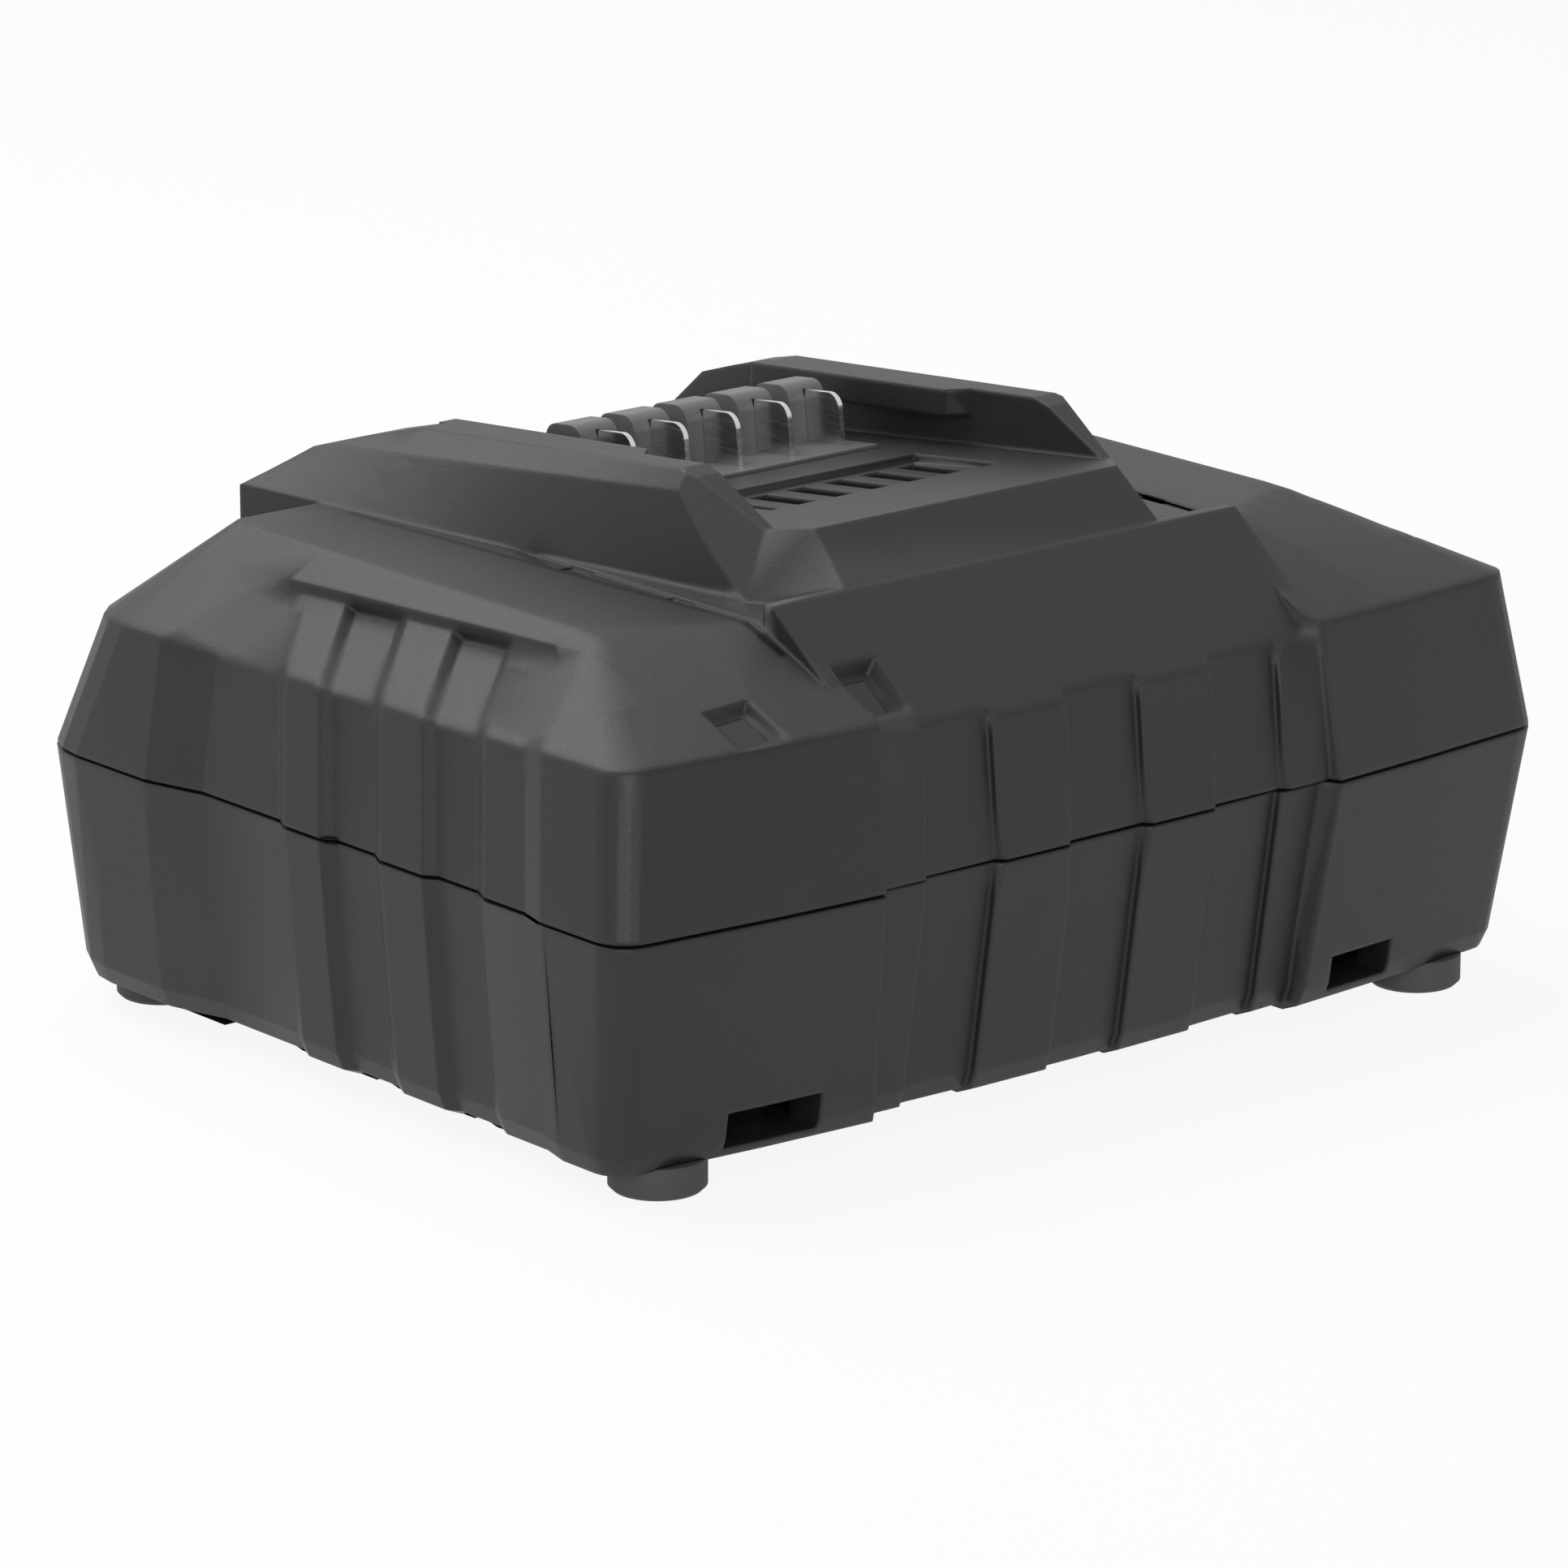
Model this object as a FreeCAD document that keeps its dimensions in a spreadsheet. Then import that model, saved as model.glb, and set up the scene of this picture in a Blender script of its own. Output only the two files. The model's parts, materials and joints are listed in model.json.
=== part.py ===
# Battery charger for slide-on power tool packs.
# X runs across the charger, Y from the front (negative) to the rear, Z up.
# The origin lies on the ground, under the middle of the four feet.
import FreeCAD, Part
import math
import os
import re

from FreeCAD import Vector

doc = FreeCAD.newDocument("BatteryCharger")
sheet = doc.addObject("Spreadsheet::Sheet", "Dimensions")

# Driving dimensions in millimetres, angles in degrees, counts as plain numbers.
SIZES = {
    # Plan of the housing at the parting line
    "half_width": 82.2,
    "front_centre": 68.2,
    "front_shoulder": 64.0,
    "rear_depth": 67.0,
    "front_corner_radius": 5.0,
    "rear_corner_radius": 13.4,
    "corner_facets": 5,
    "bow_facets": 8,
    # Heights
    "shell_bottom": 3.2,
    "parting_height": 36.7,
    "parting_gap": 0.5,
    "fold_height": 57.0,
    "fold_tilt": 0.022,
    "roof_edge_height": 68.1,
    "roof_height": 69.5,
    # Inward lean of the walls at the bottom, the fold and the roof
    "side_lean_bottom": 2.4,
    "front_lean_bottom": 4.5,
    "rear_lean_bottom": 2.4,
    "side_lean_fold": 3.2,
    "front_lean_fold": 3.2,
    "rear_lean_fold": 7.4,
    "roof_half_width": 61.0,
    "roof_front_outer": 33.5,
    "roof_front_inner": 45.5,
    "roof_corner_radius": 1.2,
    "roof_rear": 45.0,
    "bottom_radius": 3.6,
    "roof_thickness": 3.2,
    # Walls
    "wall": 2.4,
    # Ribbed field on each side
    "side_recess": 2.6,
    "side_rib_recess": 1.35,
    "field_rear": 37.5,
    "field_rear_run": 9.0,
    "field_front": 47.9,
    "field_front_run": 4.4,
    "field_top_front": 66.0,
    "field_top_slope": 0.047,
    "side_rib_rear": 7.7,
    "side_rib_width": 8.4,
    "side_rib_pitch": 21.0,
    "side_rib_count": 3,
    "rib_steep_run": 1.6,
    "rib_gentle_run": 2.8,
    # Ribbed middle of the front
    "middle_half_width": 41.0,
    "middle_step_run": 3.0,
    "middle_wall_front": 64.4,
    "middle_wall_top_front": 62.4,
    "middle_wall_top": 56.9,
    "front_rib_depth": 1.2,
    "front_rib_width": 11.0,
    "front_rib_pitch": 26.0,
    "front_end_rib_width": 6.6,
    "front_end_rib_centre": 35.9,
    "front_rib_run": 1.1,
    # Battery saddle: deck, rails and lips
    "deck_height": 72.2,
    "deck_datum": 8.0,
    "deck_slope": 0.11,
    "deck_front": 36.6,
    "saddle_rear_inset": 6.5,
    "rail_inner": 29.2,
    "rail_crest_outer": 34.0,
    "rail_crease_rear": 40.2,
    "rail_crease_front": 33.4,
    "rail_base_rear": 48.5,
    "rail_base_front": 34.5,
    "crest_height": 82.6,
    "crest_slope": 0.085,
    "rail_crease_drop": 2.6,
    "rail_nose_low": 68.0,
    "rail_nose_run": 13.0,
    "rail_nose_bevel": 9.0,
    "rail_end_crest": 17.0,
    "rail_end_ease": 3.0,
    "rail_end_deck": 31.0,
    "tip_half_width": 28.0,
    "tip_front": 45.0,
    "lip_reach": 2.7,
    "lip_height": 3.9,
    "lip_front": 1.7,
    "lip_rear": 40.0,
    # Vent pocket in the deck
    "pocket_half_width": 20.2,
    "pocket_rear": 2.7,
    "pocket_front": 19.8,
    "pocket_depth": 1.0,
    "louvre_count": 6,
    "louvre_pitch": 6.6,
    "louvre_width": 3.4,
    "louvre_length": 12.7,
    # Terminal block and blades
    "blade_pitch": 9.25,
    "blade_count": 5,
    "blade_thickness": 0.8,
    "blade_front": 10.4,
    "blade_length": 11.0,
    "blade_height": 7.3,
    "blade_nose_radius": 2.2,
    "blade_root": 5.0,
    "blade_step": 0.9,
    "blade_step_length": 4.0,
    "plate_half_width": 21.4,
    "plate_front": 6.4,
    "plate_rear": 27.0,
    "plate_rise": 0.5,
    "plate_rim": 1.0,
    "terminal_room": 12.0,
    "post_width": 6.4,
    "post_front": 17.5,
    "post_depth": 8.0,
    "post_height": 8.3,
    "post_radius": 2.4,
    "saddle_play": 0.15,
    # Indicator windows
    "window_width": 7.8,
    "window_height": 9.0,
    "window_depth": 2.0,
    "window_bevel": 1.3,
    "window_ledge": 0.8,
    "lens_thickness": 1.6,
    "left_window_x": 56.2,
    "left_window_front": 57.6,
    "right_window_x": 34.6,
    "right_window_front": 56.8,
    # Air slots low in the front
    "slot_left_outer": 62.3,
    "slot_left_inner": 47.4,
    "slot_right_inner": 43.5,
    "slot_right_outer": 55.6,
    "slot_bottom": 5.4,
    "slot_top": 10.5,
    "slot_bevel": 4.0,
    "slot_throat": 6.0,
    "slot_reach": 18.0,
    # Feet
    "foot_x": 68.0,
    "foot_y": 53.9,
    "foot_radius": 6.5,
    "foot_recess": 1.2,
    "foot_chamfer": 0.6,
    # Screws that close the housing
    "boss_x": 70.0,
    "boss_y": 40.0,
    "boss_radius": 4.4,
    "screw_radius": 1.5,
    "screw_head_radius": 2.8,
    "screw_head_height": 2.2,
    "screw_head_sink": 1.0,
    "screw_engagement": 10.0,
    "screw_play": 0.1,
    # Circuit board
    "board_half_width": 56.0,
    "board_front": 55.0,
    "board_rear": 42.0,
    "board_bottom": 12.0,
    "board_thickness": 1.6,
    "standoff_radius": 3.5,
    "standoff_inset": 6.0,
    "board_screw_radius": 1.25,
    "board_screw_length": 6.0,
    "board_screw_head_radius": 2.5,
    "board_screw_head_height": 1.8,
    # Parts on the board
    "core_width": 34.0,
    "core_depth": 16.0,
    "core_height": 26.0,
    "core_leg": 8.0,
    "core_side": 6.0,
    "core_x": 30.0,
    "core_y": 14.0,
    "coil_depth": 28.0,
    "coil_play": 0.2,
    "coil_bevel": 3.0,
    "bulk_radius": 9.0,
    "bulk_height": 30.0,
    "bulk_x": -8.0,
    "bulk_y": 26.0,
    "capacitor_bevel": 0.8,
    "sink_length": 50.0,
    "sink_thickness": 3.0,
    "sink_height": 24.0,
    "sink_fin_count": 7,
    "sink_fin_depth": 8.0,
    "sink_fin_thickness": 1.6,
    "primary_sink_y": -8.0,
    "output_sink_y": -30.0,
    "sink_x": -4.0,
    "choke_radius": 8.5,
    "choke_bore": 3.5,
    "choke_height": 12.0,
    "choke_x": -34.0,
    "choke_y": 28.0,
    "fuse_length": 20.0,
    "fuse_radius": 2.6,
    "fuse_cap_radius": 3.0,
    "fuse_cap_length": 5.0,
    "fuse_x": -46.0,
    "fuse_y": 4.0,
    "fuse_lift": 2.0,
    "clip_width": 8.0,
    "clip_length": 4.0,
    # Fan under the deck
    "fan_size": 40.0,
    "fan_thickness": 10.0,
    "fan_clearance": 0.6,
    "fan_bore_radius": 18.8,
    "fan_hub_radius": 9.5,
    "fan_tip_radius": 18.0,
    "fan_blade_count": 7,
    "fan_blade_thickness": 1.0,
    "fan_blade_pitch_angle": 35.0,
    "fan_shaft_radius": 1.5,
    "fan_shaft_play": 0.05,
    "fan_bearing_radius": 4.0,
    "fan_bearing_height": 6.0,
    "fan_hub_wall": 1.2,
    "fan_strut_width": 2.4,
    "fan_strut_height": 1.8,
    "fan_hole_spacing": 32.0,
    "fan_hole_radius": 1.7,
    # Mains inlet, a two-pin socket set in the rear wall
    "inlet_width": 17.6,
    "inlet_height": 10.6,
    "inlet_flange": 2.2,
    "inlet_flange_thickness": 1.4,
    "inlet_depth": 15.0,
    "inlet_bore_depth": 11.5,
    "inlet_wall": 1.5,
    "inlet_play": 0.15,
    "inlet_proud": 0.8,
    "inlet_z": 20.0,
    "inlet_x": -40.0,
    "inlet_pin_radius": 1.2,
    "inlet_pin_pitch": 8.6,
    "inlet_pin_length": 9.0,
    "inlet_pin_root": 4.0,
    # Light guides and their lamps
    "guide_radius": 1.6,
    "guide_bend_height": 34.0,
    "lamp_radius": 2.5,
    "lamp_height": 4.0,
    "lamp_y": -50.0,
    "left_lamp_x": -42.0,
    "lens_play": 0.1,
}

for row, (alias, value) in enumerate(SIZES.items(), start=1):
    sheet.set("A%d" % row, alias)
    sheet.set("B%d" % row, str(value))
    sheet.setAlias("B%d" % row, alias)
doc.recompute()


def size(alias):
    return float(sheet.get(alias))


nodes = {}


def keep(obj, label):
    obj.Label = label
    nodes[label] = obj
    return obj


def shape_node(shape, label, placement=None):
    obj = doc.addObject("Part::Feature", label)
    obj.Shape = shape
    if placement is not None:
        obj.Placement = placement
    return keep(obj, label)


# Shared measures

W = size("half_width")
Z_PART = size("parting_height")
Z_BOTTOM = size("shell_bottom")
WALL = size("wall")
FAR = 2.0 * W
TALL = 2.0 * size("roof_height")
FLOOR = Z_BOTTOM + WALL
CEILING = size("roof_edge_height") - size("roof_thickness")
BOARD_TOP = size("board_bottom") + size("board_thickness")
FAN_BOTTOM = CEILING - size("fan_thickness")
FAN_Y = size("plate_front") - size("fan_clearance") - size("fan_size") / 2.0
SADDLE_REAR = size("rear_depth") - size("saddle_rear_inset")


def box(x0, x1, y0, y1, z0, z1):
    return Part.makeBox(x1 - x0, y1 - y0, z1 - z0, Vector(x0, y0, z0))


def prism(points, direction):
    face = Part.Face(Part.makePolygon(points + [points[0]]))
    return face.extrude(direction)


def side_prism(profile, x0, x1):
    """A profile of (y, z) points carried along X."""
    return prism([Vector(x0, y, z) for y, z in profile], Vector(x1 - x0, 0, 0))


def plan_prism(profile, z0, z1):
    """A profile of (x, y) points carried up Z."""
    return prism([Vector(x, y, z0) for x, y in profile], Vector(0, 0, z1 - z0))


def mirrored(shape):
    return shape.mirror(Vector(0, 0, 0), Vector(1, 0, 0))


def deck_z(y):
    return size("deck_height") + size("deck_slope") * (size("deck_datum") - y)


def crest_z(y):
    return size("crest_height") - size("crest_slope") * (y + size("rail_end_crest"))


def rod(x, y, z0, z1, radius):
    return Part.makeCylinder(radius, z1 - z0, Vector(x, y, z0))


def boss_places():
    return [(sx * size("boss_x"), sy * size("boss_y")) for sy in (-1, 1) for sx in (-1, 1)]


def foot_places():
    return [(sx * size("foot_x"), sy * size("foot_y")) for sy in (-1, 1) for sx in (-1, 1)]


def standoff_places():
    x = size("board_half_width") - size("standoff_inset")
    front = -size("board_front") + size("standoff_inset")
    rear = size("board_rear") - size("standoff_inset")
    return [(sx * x, y) for y in (front, rear) for sx in (-1, 1)]


# Plan outlines of the housing

def outline(half, rear, shoulder, centre, rear_radius, front_radius, power, z, tilt=0.0):
    """Closed outline with a bowed front and round corners, drawn with short flats."""
    steps = int(size("corner_facets"))
    points = []
    for cy, radius, start in ((rear - rear_radius, rear_radius, 90.0),
                              (front_radius - shoulder, front_radius, 180.0)):
        for i in range(steps + 1):
            angle = math.radians(start + 90.0 * i / steps)
            points.append((radius - half + radius * math.cos(angle),
                           cy + radius * math.sin(angle)))
    count = int(size("bow_facets"))
    for i in range(1, count // 2):
        share = 1.0 - 2.0 * i / count
        points.append((-share * (half - front_radius),
                       -centre + (centre - shoulder) * share ** power))
    right = [(-x, y) for x, y in reversed(points)]
    points += [(0.0, -centre)] + right
    ring = [Vector(x, y, z - tilt * y) for x, y in points]
    return Part.makePolygon(ring + [ring[0]])


def plan_wire(z, side, front, rear, tilt=0.0, grow=0.0):
    """Outline of the walls, set in from the parting outline."""
    least = size("bottom_radius") + 0.6
    return outline(W - side, size("rear_depth") - rear, size("front_shoulder") - front,
                   size("front_centre") - front,
                   max(size("rear_corner_radius") + grow - side, least),
                   max(size("front_corner_radius") + grow - side, least), 2, z, tilt)


def roof_wire(z, half, front_outer, front_inner, rear):
    """Roof outline whose front edge runs forward from the outer corner to the saddle."""
    radius = size("roof_corner_radius")
    return outline(half, rear, front_outer, front_inner, radius, radius, 3, z)


def upper_body(side_in, front_in, rear_in, roof_in):
    """Walls, soft folds and roof above the parting line, set in by the given amounts."""
    start = plan_wire(Z_PART, side_in, front_in, rear_in)
    fold = plan_wire(size("fold_height") - 0.4 * roof_in, size("side_lean_fold") + side_in,
                     size("front_lean_fold") + front_in, size("rear_lean_fold") + rear_in,
                     size("fold_tilt"), size("side_lean_fold"))
    edge = roof_wire(size("roof_edge_height") - roof_in, size("roof_half_width") - 0.4 * side_in,
                     size("roof_front_outer") - 0.4 * front_in,
                     size("roof_front_inner") - 0.4 * front_in,
                     size("roof_rear") - 0.4 * rear_in)
    lower = Part.makeLoft([start, fold], True, True)
    chamfers = Part.makeLoft([fold, edge], True, True)
    return lower.fuse(chamfers).removeSplitter()


def lower_body(side_in, front_in, rear_in, floor_in, radius):
    """Tub below the parting line, its bottom edge rounded in two flats."""
    z_low = Z_BOTTOM + floor_in
    side = size("side_lean_bottom") + side_in
    front = size("front_lean_bottom") + front_in
    rear = size("rear_lean_bottom") + rear_in
    grow = size("side_lean_bottom")
    rings = [plan_wire(Z_PART, side_in, front_in, rear_in)]
    for turn in (0.0, 45.0, 90.0) if radius > 0 else (0.0,):
        inset = radius * (1.0 - math.cos(math.radians(turn)))
        lift = radius * (1.0 - math.sin(math.radians(turn)))
        rings.append(plan_wire(z_low + lift, side + inset, front + inset, rear + inset, 0.0, grow))
    return Part.makeLoft(rings, True, True)


# Ribbed fields

def side_field():
    """Plan prism that the left recess is cut with, its top square to the chamfer."""
    deep = W - size("side_recess")
    rear = size("field_rear")
    front = -size("field_front")
    inner_rear = rear - size("field_rear_run")
    inner_front = front + size("field_front_run")
    plan = [(-FAR, rear), (-W, rear), (-deep, inner_rear), (-W * 0.5, inner_rear),
            (-W * 0.5, inner_front), (-deep, inner_front), (-W, front), (-FAR, front)]
    field = plan_prism(plan, -TALL, TALL)
    top_front = size("field_top_front")
    slope = size("field_top_slope")
    x_in = -size("roof_half_width") - 4.0
    run = 0.82 / 0.57
    ceiling = []
    for y in (-FAR, FAR):
        z = top_front - slope * (y + size("field_front"))
        ceiling.append((Vector(x_in, y, z), Vector(x_in - 60.0, y, z + 60.0 * run)))
    quad = Part.makePolygon([ceiling[0][0], ceiling[0][1], ceiling[1][1], ceiling[1][0],
                             ceiling[0][0]])
    lid = Part.Face(quad).extrude(Vector(FAR, 0, FAR * 0.2))
    return field.cut(lid)


def side_ribs():
    ribs = []
    deep = W - size("side_recess")
    out = W - size("side_rib_recess")
    slope_steep = size("rib_steep_run") / (out - deep)
    slope_gentle = size("rib_gentle_run") / (out - deep)
    for i in range(int(size("side_rib_count"))):
        rear = size("side_rib_rear") - i * size("side_rib_pitch")
        front = rear - size("side_rib_width")
        inner = deep - 1.0
        plan = [(-FAR, rear), (-out, rear), (-inner, rear + slope_gentle * (out - inner)),
                (-W * 0.5, rear + slope_gentle * (out - inner)),
                (-W * 0.5, front - slope_steep * (out - inner)),
                (-inner, front - slope_steep * (out - inner)), (-out, front), (-FAR, front)]
        ribs.append(plan_prism(plan, -TALL, TALL))
    return ribs


def middle_gap():
    """Plan prism that frees the ribbed middle of the front between the corner blocks."""
    outer = size("middle_half_width")
    inner = outer - size("middle_step_run")
    front = size("front_centre")
    y_in = size("middle_wall_front") - 3.0
    back = -size("tip_front")
    plan = [(-outer, -front - 20), (-outer, -front), (-inner, -y_in), (-inner, back),
            (inner, back), (inner, -y_in), (outer, -front), (outer, -front - 20)]
    return plan_prism(plan, -TALL, TALL)


def front_rib_plans():
    base = size("middle_wall_front")
    run = size("front_rib_run")
    depth = size("front_rib_depth")
    places = [(i * size("front_rib_pitch"), size("front_rib_width")) for i in (-0.5, 0.5)]
    places += [(s * size("front_end_rib_centre"), size("front_end_rib_width")) for s in (-1, 1)]
    return places, base, run, depth


def rib_bands():
    """Plan bands across the middle that the front ribs stand in."""
    bands = []
    places, base, run, depth = front_rib_plans()
    for centre, width in places:
        half = width / 2.0
        out = base + depth
        plan = [(centre - half, -FAR), (centre - half, -out), (centre - half - run, -base),
                (centre - half - run, -base + 14), (centre + half + run, -base + 14),
                (centre + half + run, -base), (centre + half, -out), (centre + half, -FAR)]
        bands.append(plan_prism(plan, -TALL, TALL))
    return bands


def middle_solid(forward, z_from, z_to):
    """Middle of the front between its two steps: wall below, slope above."""
    half = size("middle_half_width")
    wall_y = size("middle_wall_front") + forward
    top_y = size("middle_wall_top_front") + forward
    low_y = size("middle_wall_front") + forward - size("front_lean_bottom")
    slope = (deck_z(-size("deck_front")) - size("middle_wall_top")) / (
        size("middle_wall_top_front") - size("deck_front"))
    top_z = size("middle_wall_top") - slope * forward
    back = -size("tip_front") + 2.0
    if z_from < Z_PART:
        profile = [(back, z_from), (-low_y, z_from), (-wall_y, z_to), (back, z_to)]
    else:
        ridge = -size("tip_front") + 0.2
        ridge_z = deck_z(-size("deck_front")) - slope * (-ridge - size("deck_front"))
        profile = [(back, z_from), (-wall_y, z_from), (-top_y, top_z), (ridge, ridge_z),
                   (back, ridge_z)]
    return side_prism(profile, -half, half)


# Battery saddle

def saddle():
    """Inclined deck with a rail on each side and lips that hold the pack down."""
    y_rear = SADDLE_REAR
    y_front = -size("tip_front") - 1.0

    def section(y, base, crease):
        top = crest_z(y)
        drop = size("rail_crease_drop")
        crest = size("rail_crest_outer")
        half = [(base, Z_PART), (base, size("roof_edge_height")), (crease, top - drop),
                (min(crest, crease - 0.6), top)]
        pts = [Vector(x, y, z) for x, z in half] + [Vector(-x, y, z) for x, z in reversed(half)]
        return Part.makePolygon(pts + [pts[0]])

    trunk = Part.makeLoft([section(y_rear, size("rail_base_rear"), size("rail_crease_rear")),
                           section(y_front, size("rail_base_front"), size("rail_crease_front"))],
                          True, True)
    nose = SADDLE_REAR - size("rail_nose_run")
    bevel = nose - size("rail_nose_bevel")
    end_crest = -size("rail_end_crest")
    end_deck = -size("rail_end_deck")
    ease = size("rail_end_ease")
    low = size("rail_nose_low")
    profile = [(y_rear, Z_PART), (y_rear, low), (0.5 * (y_rear + nose), 0.4 * low + 0.6 * crest_z(nose)),
               (nose, crest_z(nose) - 1.6), (bevel, crest_z(bevel)),
               (end_crest, crest_z(end_crest)), (end_crest - ease, crest_z(end_crest) - 0.7),
               (end_deck, deck_z(end_deck)), (-size("deck_front"), deck_z(-size("deck_front"))),
               (-size("tip_front"), size("roof_height")), (-size("tip_front"), Z_PART)]
    body = trunk.common(side_prism(profile, -FAR, FAR))
    # The channel between the rails, open to the front
    floor = [(FAR, deck_z(FAR)), (-FAR, deck_z(-FAR)), (-FAR, TALL), (FAR, TALL)]
    body = body.cut(side_prism(floor, -size("rail_inner"), size("rail_inner")))
    # Slanted ends of the rails
    tip = Vector(-size("tip_half_width"), -size("tip_front"), size("roof_height"))
    normal = Vector(-0.69, -0.42, 0.585)
    normal.normalize()
    slab = Part.makeBox(120, 120, 60, Vector(-60, -60, 0))
    slab.Placement = FreeCAD.Placement(tip, FreeCAD.Rotation(Vector(0, 0, 1), normal))
    body = body.cut(slab)
    body = body.cut(mirrored(slab))
    # Lips along the inner top edges
    for s in (-1, 1):
        x_wall = s * (size("rail_inner") + 0.2)
        x_lip = s * (size("rail_inner") - size("lip_reach"))
        y0 = -size("lip_front")
        y1 = size("lip_rear")
        h = size("lip_height")
        reach = size("lip_reach")
        plan = [Vector(x_wall, y1, 0), Vector(x_lip, y1, 0), Vector(x_lip, y0, 0),
                Vector(x_wall, y0 - reach, 0)]
        low = Part.makePolygon([Vector(p.x, p.y, crest_z(p.y) - h) for p in plan + [plan[0]]])
        lip = Part.Face(low).extrude(Vector(0, 0, h))
        body = body.fuse(lip)
    return body


def vent_pocket():
    """Shallow pocket in the deck and the louvre slots through its floor."""
    half = size("pocket_half_width")
    y0 = -size("pocket_front")
    y1 = -size("pocket_rear")
    depth = size("pocket_depth")
    profile = [(y0, deck_z(y0) - depth), (y1, deck_z(y1) - depth), (y1, deck_z(y1) + 9),
               (y0, deck_z(y0) + 9)]
    cutters = [side_prism(profile, -half, half)]
    count = int(size("louvre_count"))
    mid = 0.5 * (y0 + y1)
    for i in range(count):
        x = (i - (count - 1) / 2.0) * size("louvre_pitch")
        w = size("louvre_width") / 2.0
        length = size("louvre_length") / 2.0
        cutters.append(box(x - w, x + w, mid - length, mid + length, CEILING - 8, TALL))
    return cutters


# Window and slot cutters

def slope_frame(kind):
    """Point on the front slope and its outward normal for an indicator window."""
    if kind == "right":
        x = -size("right_window_x")
        y = -size("right_window_front")
        slope = (deck_z(-size("deck_front")) - size("middle_wall_top")) / (
            size("middle_wall_top_front") - size("deck_front"))
        z = size("middle_wall_top") + slope * (size("middle_wall_top_front") + y)
        normal = Vector(0, -slope, 1)
    else:
        x = -size("left_window_x")
        y = -size("left_window_front")
        slope = 0.40
        z = size("fold_height") + 4.0
        normal = Vector(-0.10, -slope, 1)
    normal.normalize()
    return Vector(x, y, z), normal


def window_frame(kind):
    point, normal = slope_frame(kind)
    u = Vector(1, 0, 0) - normal * normal.x
    u.normalize()
    v = normal.cross(u)
    matrix = FreeCAD.Matrix(u.x, v.x, normal.x, point.x, u.y, v.y, normal.y, point.y,
                            u.z, v.z, normal.z, point.z, 0, 0, 0, 1)
    return FreeCAD.Placement(matrix)


def window_cutter(kind):
    w = size("window_width") / 2.0
    h = size("window_height") / 2.0
    b = size("window_bevel")
    depth = size("window_depth")
    low = Part.makePolygon([Vector(-w, -h, -depth), Vector(w - b, -h, -depth),
                            Vector(w - b, h - b, -depth), Vector(-w, h - b, -depth),
                            Vector(-w, -h, -depth)])
    rise = 6.0
    k = 1.0 + rise / depth
    high = Part.makePolygon([Vector(-w, -h, rise), Vector(w - b + b * k, -h, rise),
                             Vector(w - b + b * k, h - b + b * k, rise),
                             Vector(-w, h - b + b * k, rise), Vector(-w, -h, rise)])
    funnel = Part.makeLoft([low, high], True, True)
    ledge = size("window_ledge")
    room = size("terminal_room")
    lens_seat = Part.makeBox(2 * (w - ledge) - b, 2 * (h - ledge) - b, room,
                             Vector(ledge - w, ledge - h, -depth - room + 0.1))
    cutter = funnel.fuse(lens_seat)
    cutter.Placement = window_frame(kind)
    return cutter


def slot_cutters():
    """Air slots in the two corner blocks, each with its right side slanted open."""
    face = -size("front_centre")
    throat = face + size("slot_throat")
    deep = face + size("slot_reach")
    bevel = size("slot_bevel")
    cutters = []
    for x0, x1 in ((-size("slot_left_outer"), -size("slot_left_inner")),
                   (size("slot_right_inner"), size("slot_right_outer"))):
        plan = [(x0, -FAR), (x0, deep), (x1, deep), (x1, throat), (x1 + bevel, face),
                (x1 + bevel, -FAR)]
        cutters.append(plan_prism(plan, size("slot_bottom"), size("slot_top")))
    return cutters


# Upper housing

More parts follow.
